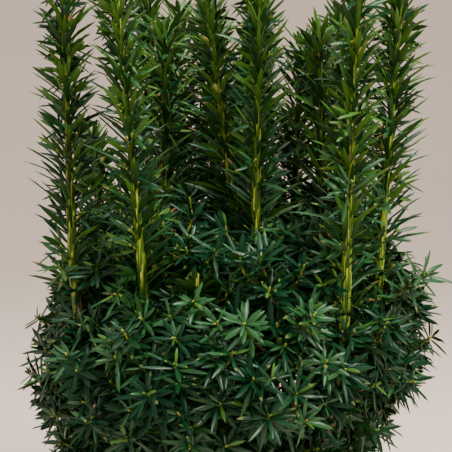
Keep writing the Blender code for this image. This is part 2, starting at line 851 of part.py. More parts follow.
def build():
    """Build every named piece of the yew."""
    clean_start()
    scene = bpy.context.scene.collection
    parts = bpy.data.collections.new("pieces_to_join")
    scene.children.link(parts)
    bark = principled("bark", (0.16, 0.10, 0.065), 0.85)
    limb_bark = principled("limb_bark", (0.19, 0.14, 0.07), 0.80)
    needles = principled("needles", (0.035, 0.10, 0.035), 0.45)

    masses = plan_masses()
    paths = bough_paths(masses)
    heights = blend(0.0, TRUNK_TOP, 9)
    trunk_line = [trunk_axis(z, masses) for z in heights]
    limbs = [("trunk", trunk_line, [trunk_radius(z) for z in heights])]
    collars = []
    for mass in masses:
        if mass.name not in paths:
            continue
        path = paths[mass.name]
        collar = collar_end(path, masses)
        collars.append((path, collar, BOUGH_ROOT_RADIUS))
        bough = sub_path(path, collar + CLEAR, path_length(path), 4)
        radii = blend(BOUGH_ROOT_RADIUS, BOUGH_TIP_RADIUS, 5)
        limbs.append((mass.bough, bough, radii))
        cuts = (heading_at(path, collar), mass.heading(mass.foot))
        tube(mass.bough, bough, radii, 5, cuts, limb_bark, scene)
    skirts = []
    for number, line in enumerate(skirt_lines(masses), 1):
        collar = collar_end(line, masses)
        collars.append((line, collar, SKIRT_ROOT_RADIUS))
        stem = sub_path(line, collar + CLEAR, path_length(line), 5)
        limbs.append(("skirt_%02d" % number, stem, [SKIRT_ROOT_RADIUS] * 6))
        skirts.append((number, stem, heading_at(line, collar)))
    space = Space(masses, limbs)
    build_trunk(masses, collars, bark, scene, parts)
    sites = crown_sites()
    for mass in masses:
        radius = BOUGH_TIP_RADIUS
        if mass is masses[TRUNK_LEADER]:
            radius = BOUGH_TIP_RADIUS + 0.0012
        build_upper_mass(space, mass, sites, radius, needles, scene, parts)
    for number, stem, root in skirts:
        build_skirt_mass(space, number, stem, root, sites, needles, scene, parts)
    bpy.data.collections.remove(parts)


build()
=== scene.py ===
"""A young english yew, dressed: bark, ridged stems, fine twigs, buds and single needles.

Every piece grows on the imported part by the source's own rules, in metres, in its frame.
"""

import math

import bpy
import numpy as np
from mathutils import Matrix


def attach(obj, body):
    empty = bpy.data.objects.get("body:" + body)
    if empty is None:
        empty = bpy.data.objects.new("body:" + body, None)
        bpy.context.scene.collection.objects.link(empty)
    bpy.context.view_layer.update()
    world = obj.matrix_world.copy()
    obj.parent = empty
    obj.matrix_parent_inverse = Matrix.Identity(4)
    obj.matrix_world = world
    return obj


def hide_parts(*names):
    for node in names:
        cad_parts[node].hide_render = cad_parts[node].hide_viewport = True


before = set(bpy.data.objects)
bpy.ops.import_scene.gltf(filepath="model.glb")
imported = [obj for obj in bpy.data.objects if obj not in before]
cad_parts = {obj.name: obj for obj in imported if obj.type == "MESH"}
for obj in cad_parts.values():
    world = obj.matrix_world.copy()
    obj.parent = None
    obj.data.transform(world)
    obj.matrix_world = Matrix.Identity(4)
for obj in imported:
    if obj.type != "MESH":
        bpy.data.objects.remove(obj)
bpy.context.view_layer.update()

# Values shared with the part's source, in metres and radians
CLEAR = 0.0003
TRUNK_TOP = 0.150
TRUNK_BASE_RADIUS = 0.0125
TRUNK_TIP_RADIUS = 0.0058
ROOT_FLARE = 0.0050
BOUGH_ROOT_RADIUS = 0.0036
BOUGH_TIP_RADIUS = 0.0026
FOOT_RISE = 0.036
FOOT_LOW = 0.150
RIM_RADIUS = 0.115
BEND = 12.0
SKIRT_TOP = 0.148
SKIRT_SLOPE = 0.35
SKIRT_EDGE = 0.100
SKIRT_COUNT = 7
ROSETTE_NEEDLE = 0.025
SITE_COUNT = 270
GOLDEN_ANGLE = math.pi * (3.0 - math.sqrt(5.0))
CROWN_TIP_DEPTH = 0.016
CROWN_PROFILE = np.array((
    (0.030, 0.046), (0.082, 0.062), (0.108, 0.085), (0.124, 0.109), (0.143, 0.150), (0.153, 0.190),
    (0.152, 0.222), (0.138, 0.250), (0.108, 0.274), (0.060, 0.292), (0.000, 0.298)))
DOME_START = 6
LEADERS = np.array((
    (-0.112, -0.050, 0.265, -0.118, -0.052, 0.468),
    (-0.060, -0.083, 0.250, -0.079, -0.085, 0.466),
    (0.004, -0.022, 0.287, -0.017, -0.030, 0.446),
    (0.018, -0.050, 0.287, 0.021, -0.054, 0.458),
    (0.077, -0.096, 0.230, 0.086, -0.099, 0.478),
    (0.105, -0.052, 0.245, 0.121, -0.058, 0.474),
    (-0.098, 0.035, 0.245, -0.107, 0.038, 0.351),
    (-0.053, 0.040, 0.275, -0.050, 0.045, 0.430),
    (0.011, 0.028, 0.290, 0.010, 0.034, 0.404),
    (0.050, 0.056, 0.275, 0.057, 0.060, 0.424),
    (0.072, 0.009, 0.280, 0.067, 0.012, 0.428),
    (0.094, 0.062, 0.250, 0.086, 0.068, 0.446),
    (-0.012, 0.076, 0.275, -0.016, 0.080, 0.448),
    (-0.064, 0.086, 0.250, -0.067, 0.092, 0.470),
    (0.026, 0.108, 0.245, 0.024, 0.112, 0.452),
    (-0.036, 0.118, 0.240, -0.043, 0.122, 0.455)))
TRUNK_LEADER = 2
EDGE_SPRAY = np.array(((0.100, -0.060, 0.222, 0.135, -0.078, 0.252),))  # the shoot at the right edge
YEAR_SCARS = {4: 0.331, 7: 0.330, 10: 0.335, 13: 0.322}  # leaders with a scar, and its height
CROWN_PLACES = np.array((
    (-0.022, -0.110), (0.032, -0.112), (-0.118, -0.006), (-0.104, 0.082),
    (0.070, 0.104), (0.120, 0.006), (-0.058, -0.022), (0.064, -0.046)))

# Values of the finer growth
NEEDLE_LENGTH = 0.0215      # a needle of the bush
NEEDLE_WIDTH = 0.0037
LEADER_NEEDLE = 0.0345      # a leader's needle low on its stem
LEADER_PITCH = 0.00080      # distance between two needles along a leader
FINE_COUNT = 620            # shoots dealt out over the crown's surface
DEEP_COUNT = 560            # and inside it
OPEN_LEADERS = (0, 1, 2, 3, 4, 5, 11, 13, 14, 15)  # leaders whose bare lower stems show from outside
SHOULDER = 0.015            # how much the finest shoots fill out the bush's shoulder
UP = np.array((0.0, 0.0, 1.0))

rng = np.random.default_rng(41)


# ---------------------------------------------------------------- the plan

def unit(vectors):
    """Each vector divided by its own length."""
    return vectors / np.maximum(np.linalg.norm(vectors, axis=-1, keepdims=True), 1e-12)


def dot(a, b):
    """The sum of the products of the components, kept as a last axis of one."""
    return np.sum(a * b, axis=-1, keepdims=True)


def bow(start, middle, end, t):
    """A point on the bow from start to end: (1-t)^2 start + 2t(1-t) middle + t^2 end."""
    return start * (1.0 - t) ** 2 + middle * 2.0 * t * (1.0 - t) + end * t ** 2


def bow_heading(start, middle, end, t):
    """The bow's direction: (1-t)(middle - start) + t(end - middle), at length one."""
    return unit((middle - start) * (1.0 - t) + (end - middle) * t)


def crown_centre(z):
    """The crown's sideways lean at a height: a straight line held between two limits."""
    return np.clip(0.16 * (z - 0.190), -0.014, 0.006)


def dome_height(radius):
    """The bush's top at a distance from the middle, read off the profile's upper rows."""
    rows = CROWN_PROFILE[:DOME_START - 1:-1]
    return np.interp(radius, rows[:, 0], rows[:, 1])


def foot_height(x, y):
    """A stem's foot: low at the rim, higher in proportion towards the middle."""
    return FOOT_LOW + FOOT_RISE * (1.0 - np.minimum(1.0, np.hypot(x, y) / RIM_RADIUS))


crown_high = dome_height(np.hypot(*CROWN_PLACES.T)) - CROWN_TIP_DEPTH
STEM_LOW = np.concatenate((LEADERS[:, :3], np.column_stack((CROWN_PLACES, crown_high))))
STEM_TIP = np.concatenate((LEADERS[:, 3:], np.column_stack((CROWN_PLACES * 1.02, crown_high + 0.10))))
STEM_FOOT = foot_height(STEM_LOW[:, 0], STEM_LOW[:, 1])
STEM_FOOT[TRUNK_LEADER] = TRUNK_TOP + CLEAR
STEM_TOP = np.concatenate((LEADERS[:, 5], crown_high))
UPRIGHT = len(STEM_LOW)
LEADER_COUNT = len(LEADERS)
NODES = ["leader_%02d" % (k + 1) for k in range(LEADER_COUNT)]
NODES += ["crown_%02d" % (k + 1) for k in range(len(CROWN_PLACES))]
NODES += ["skirt_%02d" % (k + 1) for k in range(SKIRT_COUNT)]


def stem_axis(mass, z):
    """The point of an upright stem at height z: straight above its low point, and below it
    drawn inward by BEND times the square of the drop."""
    low = STEM_LOW[mass]
    tip = STEM_TIP[mass]
    rise = (z - low[..., 2]) / (tip[..., 2] - low[..., 2])
    place = low + (tip - low) * rise[..., None]
    drop = np.maximum(0.0, low[..., 2] - z)
    place[..., :2] -= low[..., :2] * (BEND * drop ** 2)[..., None]
    return place


def stem_heading(mass, z):
    """An upright stem's direction, from two points 4 mm apart."""
    return unit(stem_axis(mass, z + 0.002) - stem_axis(mass, z - 0.002))


def trunk_axis(z):
    """The trunk's middle: it leans by the power 1.6 of its height to the leader it carries."""
    end = stem_axis(np.array([TRUNK_LEADER]), np.array([TRUNK_TOP]))[0]
    lean = np.maximum(0.0, z / TRUNK_TOP) ** 1.6
    return np.stack((end[0] * lean, end[1] * lean, z), axis=-1)


def trunk_radius(z):
    """A straight taper and a flare that dies out above the ground."""
    taper = TRUNK_BASE_RADIUS + (TRUNK_TIP_RADIUS - TRUNK_BASE_RADIUS) * z / TRUNK_TOP
    return taper + ROOT_FLARE * np.exp(-z / 0.009)


def skirt_bows():
    """Start, middle and end of each low stem, from inside the trunk to the crown's side."""
    index = np.arange(SKIRT_COUNT)
    angle = 2.0 * math.pi * (index + 0.5) / SKIRT_COUNT
    ray = np.stack((np.cos(angle), np.sin(angle), 0.0 * angle), axis=-1)
    start = trunk_axis(0.022 + 0.006 * (index % 2))
    reach = (0.100 + crown_centre(0.12) * ray[:, 0])[:, None]
    end = ray * reach + UP * 0.112
    middle = start + ray * reach * 0.58 + UP * 0.016
    return start, middle, end


SKIRT_START, SKIRT_MIDDLE, SKIRT_END = skirt_bows()


def bough_bows():
    """Start, middle, last bend and end of each bough, and its mass: the widest leaves lowest."""
    masses = np.array([k for k in range(UPRIGHT) if k != TRUNK_LEADER])
    feet = stem_axis(masses, STEM_FOOT[masses])
    masses = masses[np.argsort(-np.hypot(feet[:, 0], feet[:, 1]), kind="stable")]
    start = trunk_axis(np.linspace(0.040, TRUNK_TOP - 0.010, len(masses)))
    end = stem_axis(masses, STEM_FOOT[masses])
    tangent = unit(stem_axis(masses, STEM_FOOT[masses] + 0.004) - end)
    level = (end - start) * (1.0, 1.0, 0.0)
    middle = start + level * 0.52 + (end - start) * (0.0, 0.0, 0.34)
    return masses, start, middle, end - tangent * 0.012, end


def owner_of(points):
    """The mass whose room holds each point: the nearest upright stem at that height, or the
    skirt's wedge where the point lies under the skirt's limit."""
    radius = np.hypot(points[:, 0], points[:, 1])
    masses = np.arange(UPRIGHT)[None, :]
    places = stem_axis(masses, points[:, 2:3] + 0.0 * masses)
    away = np.hypot(places[..., 0] - points[:, :1], places[..., 1] - points[:, 1:2])
    nearest = np.argmin(away, axis=1)
    angle = np.mod(np.arctan2(points[:, 1], points[:, 0]), 2.0 * math.pi)
    wedge = UPRIGHT + np.floor(angle / (2.0 * math.pi / SKIRT_COUNT)).astype(int)
    limit = SKIRT_TOP - SKIRT_SLOPE * np.maximum(0.0, radius - SKIRT_EDGE)
    return np.where(points[:, 2] < limit, np.minimum(wedge, UPRIGHT + SKIRT_COUNT - 1), nearest)


def crown_sites(count, turn=0.0):
    """Places dealt out evenly by area over the crown's profile turned round its middle, each
    one golden angle on from the last, with the surface's normals."""
    first = CROWN_PROFILE[:-1]
    last = CROWN_PROFILE[1:]
    area = np.hypot(*(last - first).T) * (first[:, 0] + last[:, 0])
    total = np.concatenate(((0.0,), np.cumsum(area)))
    wanted = total[-1] * (np.arange(count) + 0.5) / count
    strip = np.clip(np.searchsorted(total, wanted, side="right") - 1, 0, len(area) - 1)
    part = ((wanted - total[strip]) / area[strip])[:, None]
    place = first[strip] + (last[strip] - first[strip]) * part
    slope = last[strip] - first[strip]
    angle = np.arange(count) * GOLDEN_ANGLE + turn
    out = np.stack((np.cos(angle), np.sin(angle), 0.0 * angle), axis=-1)
    normal = unit(out * slope[:, 1:2] - UP * slope[:, 0:1])
    points = out * place[:, 0:1] + UP * place[:, 1:2]
    points[:, 0] += crown_centre(place[:, 1])
    return points, normal


def stem_start(owner, centre):
    """Where a twig to each centre leaves its mass's stem: upright stems are left below the
    centre by 0.75 of the level distance, low stems behind their nearest point."""
    upright = np.minimum(owner, UPRIGHT - 1)
    beside = stem_axis(upright, centre[:, 2])
    level = np.hypot(*(centre - beside)[:, :2].T)
    lowest = STEM_FOOT[upright] + 0.018
    z = np.clip(centre[:, 2] - 0.75 * level, lowest, STEM_TOP[upright] - 0.016)
    start = stem_axis(upright, z)
    wedge = np.maximum(owner - UPRIGHT, 0)
    t = np.linspace(0.0, 1.0, 21)[None, :, None]
    line = bow(SKIRT_START[wedge][:, None], SKIRT_MIDDLE[wedge][:, None], SKIRT_END[wedge][:, None], t)
    away = np.linalg.norm(line - centre[:, None], axis=2)
    near = np.argmin(away, axis=1)
    gap = away[np.arange(len(near)), near]
    part = np.clip(near / 20.0 - 0.55 * gap / 0.125, 0.25, 0.90)[:, None]
    low = bow(SKIRT_START[wedge], SKIRT_MIDDLE[wedge], SKIRT_END[wedge], part)
    is_low = owner >= UPRIGHT
    return np.where(is_low[:, None], low, start), np.where(is_low, gap, level)


# ---------------------------------------------------------------- shoots

class Shoots:
    """Bows that carry needles: starts, middles, ends, tip directions, masses and measures."""

    def __init__(self, start, end, axis, owner, turn_out):
        """The middle lies behind the end, along the tip's direction, by a part of the chord."""
        chord = np.linalg.norm(end - start, axis=1, keepdims=True)
        self.start = start
        self.end = end
        self.middle = end - axis * chord * turn_out
        self.owner = owner
        self.length = chord[:, 0] * 1.04

    def at(self, index, t):
        """Places and directions on the shoots of an index array, at the parts t of their bows."""
        a, b, c = self.start[index], self.middle[index], self.end[index]
        return bow(a, b, c, t[..., None]), bow_heading(a, b, c, t[..., None])

    def pick(self, keep):
        """Only the shoots that the mask keeps."""
        made = Shoots.__new__(Shoots)
        for name in ("start", "end", "middle", "owner", "length"):
            setattr(made, name, getattr(self, name)[keep])
        return made


def join_shoots(*groups):
    """All the groups' shoots, one after the other."""
    made = Shoots.__new__(Shoots)
    for name in ("start", "end", "middle", "owner", "length"):
        setattr(made, name, np.concatenate([getattr(group, name) for group in groups]))
    return made


def tip_axis(place, normal, spread, rise=0.42):
    """The source's tip direction, 0.82 of the normal and 0.42 of the vertical, or more of it for
    finer shoots, leaning outward on the bush's top, with a small seeded turn."""
    level = unit(place * (1.0, 1.0, 0.0)) * np.clip(normal[:, 2:3] * 1.1, 0.0, 0.9)
    return unit(normal * 0.82 + UP * rise + level + rng.normal(0.0, spread, normal.shape))


def main_twigs():
    """The source's twigs: one to each site that its mass can reach."""
    place, normal = crown_sites(SITE_COUNT)
    axis = tip_axis(place, normal, 0.10)
    centre = place - axis * ROSETTE_NEEDLE * 0.55 + normal * rng.normal(-0.006, 0.007, (SITE_COUNT, 1))
    owner = owner_of(place)
    start, level = stem_start(owner, centre)
    made = Shoots(start, centre, axis, owner, 0.30)
    return made.pick(level > 0.013)


def fine_shoots(twigs, count, turn, depth, spread, least, most):
    """Finer shoots: each leaves the nearest twig of its own mass, a little behind the nearest
    point, for a place of a finer lattice that lies the given depth under the surface."""
    place, normal = crown_sites(count, turn)
    place = place + rng.normal(0.0, 0.0035, place.shape)
    place[:, 2] += SHOULDER * np.exp(-((np.hypot(place[:, 0], place[:, 1]) - 0.095) / 0.028) ** 2) * (place[:, 2] > 0.24)
    axis = tip_axis(place, normal, spread, 0.72)
    sunk = depth[0] + (depth[1] - depth[0]) * rng.uniform(0.0, 1.0, (count, 1)) ** 1.5
    centre = place - axis * ROSETTE_NEEDLE * 0.50 - normal * sunk
    owner = owner_of(centre)
    t = np.linspace(0.30, 0.95, 8)
    index = np.arange(len(twigs.owner))[:, None]
    line = twigs.at(index, np.broadcast_to(t, (len(index), 8)))[0]
    away = np.linalg.norm(line[None] - centre[:, None, None], axis=3)
    away = away + np.where(twigs.owner[None, :] == owner[:, None], 0.0, 1.0)[..., None]
    flat = away.reshape(count, -1)
    best = np.argmin(flat, axis=1)
    gap = flat[np.arange(count), best]
    twig = best // 8
    part = np.clip(t[best % 8] - 0.45 * gap / twigs.length[twig], 0.12, 0.92)
    start = twigs.at(twig, part)[0]
    from_stem, level = stem_start(owner, centre)
    far = gap > 0.050
    start = np.where(far[:, None], from_stem, start)
    made = Shoots(start, centre, axis, owner, 0.38)
    return made.pick((made.length > least) & (made.length < most) & ~hides_leader(centre, 0.015))


def rising_shoots(count):
    """Upright shoots that stand out of the bush's top here and there, from the upright stems
    of their own masses: their places fill a disc by the golden angle."""
    index = np.arange(count)
    radius = 0.128 * np.sqrt((index + 0.5) / count)
    angle = index * GOLDEN_ANGLE + 2.1
    above = dome_height(radius) + rng.uniform(-0.012, 0.016, count)
    end = np.stack((radius * np.cos(angle), radius * np.sin(angle), above), axis=-1)
    owner = owner_of(end)
    start, level = stem_start(owner, end)
    outward = end * (1.0, 1.0, 0.0) * 5.0
    axis = unit(UP + outward + rng.normal(0.0, 0.15, end.shape))
    made = Shoots(start, end, axis, owner, 0.45)
    return made.pick((level > 0.010) & (level < 0.045) & ~hides_leader(end, 0.018))


def bold_shoots(count):
    """Strong side shoots that stand a little out of the bush all round, from their masses'
    stems, so that its outline is broken."""
    place, normal = crown_sites(count, 2.6)
    place = place + normal * rng.uniform(-0.014, 0.000, (count, 1))
    axis = unit(normal * 0.80 + UP * 0.60 + rng.normal(0.0, 0.16, place.shape))
    owner = owner_of(place)
    start, level = stem_start(owner, place)
    start = start + (place - start) * 0.25
    made = Shoots(start, place, axis, owner, 0.40)
    keep = (made.length > 0.022) & (made.length < 0.095) & ~hides_leader(place, 0.014)
    return made.pick(keep)


def edge_spray():
    """The strong shoot that the photo shows past the crown's right edge, from leader 6."""
    low, high = np.split(EDGE_SPRAY, 2, axis=1)
    return Shoots(low, high, unit(high - low), np.full(len(low), 5), 0.40)


def open_side(k):
    """The level direction from which a leader's lower stem shows: half of its place across
    and the whole of its place in depth, and a little more of that."""
    out = STEM_LOW[k, :2] * (0.5, 1.0) + (0.0, math.copysign(0.05, STEM_LOW[k, 1]))
    return out / np.hypot(*out)


def hides_leader(points, room):
    """True for places in front of an outer leader's bare lower stem, closer to the line of
    sight than the room given: the bush stands open there."""
    hidden = np.zeros(len(points), bool)
    for k in OPEN_LEADERS:
        mass = np.full(len(points), k)
        rel = (points - stem_axis(mass, points[:, 2]))[:, :2]
        out = open_side(k)
        ahead = rel @ out
        aside = np.abs(rel @ np.array((-out[1], out[0])))
        low = STEM_LOW[k, 2] - 0.008
        hidden |= (ahead > 0.003) & (aside < room) & (points[:, 2] > low)
    return hidden


# ---------------------------------------------------------------- meshes

def add_piece(name, points, faces, materials, slots=None, attributes=None, smooth=True, sharp=None):
    """A piece from whole arrays: points, triangles, a material slot for each face and values
    for each point."""
    mesh = bpy.data.meshes.new(name)
    mesh.vertices.add(len(points))
    mesh.vertices.foreach_set("co", np.ascontiguousarray(points, np.float32).ravel())
    mesh.loops.add(faces.size)
    mesh.loops.foreach_set("vertex_index", np.ascontiguousarray(faces, np.int32).ravel())
    mesh.polygons.add(len(faces))
    mesh.polygons.foreach_set("loop_start", np.arange(len(faces), dtype=np.int32) * faces.shape[1])
    if slots is not None:
        mesh.polygons.foreach_set("material_index", np.ascontiguousarray(slots, np.int32))
    mesh.polygons.foreach_set("use_smooth", np.full(len(faces), smooth))
    mesh.update(calc_edges=True)
    if sharp is not None:
        ends = np.empty(len(mesh.edges) * 2, np.int32)
        mesh.edges.foreach_get("vertices", ends)
        marks = sharp(ends.reshape(-1, 2))
        mesh.attributes.new("sharp_edge", "BOOLEAN", "EDGE").data.foreach_set("value", marks)
    for label, values in (attributes or {}).items():
        layer = mesh.attributes.new(label, "FLOAT", "POINT")
        layer.data.foreach_set("value", np.ascontiguousarray(values, np.float32).ravel())
    for material in materials:
        mesh.materials.append(material)
    mesh.validate()
    piece = bpy.data.objects.new(name, mesh)
    bpy.context.scene.collection.objects.link(piece)
    return piece


def tube_faces(rings, sides):
    """Triangles of a tube whose points run ring by ring, with a last point at each end."""
    step = np.arange(rings - 1)[:, None]
    side = np.arange(sides)[None, :]
    a = step * sides + side
    b = step * sides + (side + 1) % sides
    walls = np.stack((a, b, b + sides, a, b + sides, a + sides), axis=-1).reshape(-1, 3)
    ring = np.arange(sides)
    after = (ring + 1) % sides
    foot = np.stack((after, ring, np.full(sides, rings * sides)), axis=-1)
    last = (rings - 1) * sides
    tip = np.stack((last + ring, last + after, np.full(sides, rings * sides + 1)), axis=-1)
    return np.concatenate((walls, foot, tip))


def tubes(lines, radii, sides, blunt=0.6):
    """Tubes carried along many paths at once: each ring is the path's point plus the radius
    times the cosine and sine of the angle along two directions square to the path. Lines are
    (tubes, rings, 3) and radii (tubes, rings) or (tubes, rings, sides)."""
    count, rings = lines.shape[:2]
    heading = unit(np.gradient(lines, axis=1))
    chord = unit(lines[:, -1] - lines[:, 0])[:, None]
    pick = np.where(np.abs(chord[..., 2:3]) > 0.7, np.array((1.0, 0.0, 0.0)), UP)
    side = unit(pick - dot(pick, heading) * heading)
    other = np.cross(heading, side)
    angle = 2.0 * math.pi * np.arange(sides) / sides
    radii = radii if radii.ndim == 3 else np.repeat(radii[..., None], sides, axis=2)
    round_ = side[:, :, None] * np.cos(angle)[:, None] + other[:, :, None] * np.sin(angle)[:, None]
    points = lines[:, :, None] + round_ * radii[..., None]
    foot = lines[:, :1] - heading[:, :1] * radii[:, :1, :1] * blunt
    tip = lines[:, -1:] + heading[:, -1:] * radii[:, -1:, :1] * blunt
    points = np.concatenate((points.reshape(count, -1, 3), foot, tip), axis=1)
    faces = tube_faces(rings, sides)[None] + (np.arange(count) * points.shape[1])[:, None, None]
    return points.reshape(-1, 3), faces.reshape(-1, 3)


# A needle's outline: part of its length, half width, and how high its rib stands
NEEDLE_STEPS = np.array((0.12, 0.48, 0.81))
NEEDLE_HALF = np.array((0.28, 0.50, 0.34))


def needle_faces():
    """Triangles of one closed needle: point 0 is its root, then three rings of left edge, rib,
    right edge and underside, and point 13 is its tip."""
    rows = []
    for k in range(4):
        after = (k + 1) % 4
        rows.append((0, 1 + after, 1 + k))
        for step in range(2):
            a, b = 1 + step * 4 + k, 1 + step * 4 + after
            rows.append((a, b, b + 4))
            rows.append((a, b + 4, a + 4))
        rows.append((9 + k, 9 + after, 13))
    return np.array(rows)


NEEDLE_FACES = needle_faces()
# Per side of the ring: 0 and 1 are the upper faces, 2 and 3 the lower ones
NEEDLE_IS_UPPER = np.repeat(np.array((True, True, False, False)), 6)
NEEDLE_IS_TIP = np.tile(np.array((False,) * 5 + (True,)), 4)


def needle_points(root, ahead, face, bend, length, width, curve, cup):
    """Needles as whole arrays. A point of the middle line is root + ahead * length * y - bend *
    curve * length * y^2; each ring has its edges a half width to the sides and a little lower,
    its rib above and its underside below."""
    wide = np.cross(ahead, face)
    y = NEEDLE_STEPS[None, :, None]
    length = length[:, None, None]
    width = width[:, None, None]
    curve = curve[:, None, None]
    ahead, face, bend, wide = ahead[:, None], face[:, None], bend[:, None], wide[:, None]
    middle = root[:, None] + ahead * length * y - bend * curve * length * y ** 2
    half = wide * width * NEEDLE_HALF[None, :, None]
    rib = face * width * 0.19 * (0.5 + NEEDLE_HALF[None, :, None])
    drop = face * width * cup
    ring = np.stack((middle - half - drop, middle + rib, middle + half - drop, middle - rib * 0.35 - drop), axis=2)
    tip = root[:, None] + ahead * length - bend * curve * length
    return np.concatenate((root[:, None], ring.reshape(len(root), 12, 3), tip), axis=1)


class Needles:
    """All the needles of some masses: their points, their tones and the masses they belong to."""

    def __init__(self):
        self.points = []
        self.tone = []
        self.tipped = []
        self.owner = []

    def add(self, root, ahead, face, bend, length, width, curve, tone, tipped, owner):
        """Needles from whole arrays of roots, directions, measures, tones and masses."""
        self.points.append(needle_points(root, ahead, face, bend, length, width, curve, 0.09))
        self.tone.append(tone)
        self.tipped.append(tipped)
        self.owner.append(owner)

    def build(self, name, masses, materials):
        """One piece of the needles of the given masses, in the tones' slots."""
        points = np.concatenate(self.points)
        tone = np.concatenate(self.tone)
        tipped = np.concatenate(self.tipped)
        keep = np.isin(np.concatenate(self.owner), masses)
        points, tone, tipped = points[keep], tone[keep], tipped[keep]
        count = len(points)
        faces = NEEDLE_FACES[None] + (np.arange(count) * 14)[:, None, None]
        under = np.where(tone >= 3, 5, 4)
        slots = np.where(NEEDLE_IS_UPPER[None], tone[:, None], under[:, None])
        slots = np.where(NEEDLE_IS_TIP[None] & (tipped[:, None] > 0), 5 + tipped[:, None], slots)

        def edges(ends):
            """An edge is sharp where both its points lie on the same border of a needle."""
            local = np.sort(ends % 14, axis=1)
            left = np.isin(local, (0, 1, 5, 9, 13)).all(axis=1)
            right = np.isin(local, (0, 3, 7, 11, 13)).all(axis=1)
            return left | right

        piece = add_piece(name, points.reshape(-1, 3), faces.reshape(-1, 3), materials,
                          slots.reshape(-1), sharp=edges)
        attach(piece, "root")
        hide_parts(*[NODES[k] for k in masses])
        return piece


def frame_round(heading, angle):
    """A direction square to each heading, turned round it by an angle from the level side."""
    level = np.cross(heading, UP)
    weak = np.linalg.norm(level, axis=-1, keepdims=True) < 0.05
    side = unit(np.where(weak, np.array((1.0, 0.0, 0.0)), level))
    side = unit(side - dot(side, heading) * heading)
    other = np.cross(heading, side)
    return side * np.cos(angle)[..., None] + other * np.sin(angle)[..., None]


def dress(needles, shoots, per_shoot, reach, length, width, tones, flat, tip_share, crowd=1.8, lean=(42.0, 36.0),
          open_front=True):
    """Needles round many shoots at once: the nth stands the golden angle on from the last,
    closer together towards the tip, at the first angle of lean there and at both together
    further back, and half of them are combed to two sides as the measure flat says."""
    count = len(shoots.owner)
    index = np.repeat(np.arange(count), per_shoot)
    step = np.tile(np.arange(per_shoot), count)
    part = (step + 0.4) / per_shoot
    back = 0.0008 + reach * part ** crowd
    back = np.minimum(back, shoots.length[index] * 0.92)
    t = 1.0 - back / shoots.length[index]
    place, heading = shoots.at(index, t)
    spin = rng.uniform(0.0, 2.0 * math.pi, count)[index] + step * GOLDEN_ANGLE
    comb = flat[index]
    spin = spin - comb * 0.5 * np.sin(2.0 * spin)
    out = frame_round(heading, spin)
    near = np.clip(back / 0.006, 0.0, 1.0) ** 0.8
    lean = lean[0] + lean[1] * near + rng.normal(0.0, 7.0, count)[index]
    lean = np.radians(lean + rng.normal(0.0, 11.0, len(step)))[:, None]
    ahead = unit(heading * np.cos(lean) + out * np.sin(lean))
    bend = unit(heading * np.sin(lean) - out * np.cos(lean))
    swing = rng.normal(0.0, 0.25, len(step))[:, None]
    face = unit(bend + np.cross(ahead, bend) * swing)
    bend = unit(bend + UP * 0.7)
    grown = np.clip(back / 0.0026, 0.0, 1.0)
    size = length * (0.30 + 0.70 * grown) * rng.uniform(0.84, 1.10, len(step))
    size = size * rng.uniform(0.80, 1.08, count)[index]
    wide = width * rng.uniform(0.88, 1.10, len(step)) * (0.50 + 0.50 * grown)
    tone = tones[index]
    changed = rng.uniform(0.0, 1.0, len(step)) < 0.12
    tone = np.where(changed & (tone < 3), rng.integers(0, 3, len(step)), tone)
    young = rng.uniform(0.0, 1.0, len(step))
    tone = np.where((grown < 0.6) & (young < 0.60), 2, tone)
    tone = np.where((grown < 0.6) & (young < 0.22), 3, tone)
    tipped = np.where(rng.uniform(0.0, 1.0, len(step)) < tip_share, 1, 0)
    tipped = np.where(rng.uniform(0.0, 1.0, len(step)) < 0.010, 2, tipped)
    curve = rng.normal(0.12, 0.07, len(step))
    root = place + out * 0.0006
    kept = ~(open_front & hides_leader(root + ahead * size[:, None] * 0.6, 0.008))
    rows = (root, ahead, face, bend, size, wide, curve, tone, tipped, shoots.owner[index])
    needles.add(*[row[kept] for row in rows])


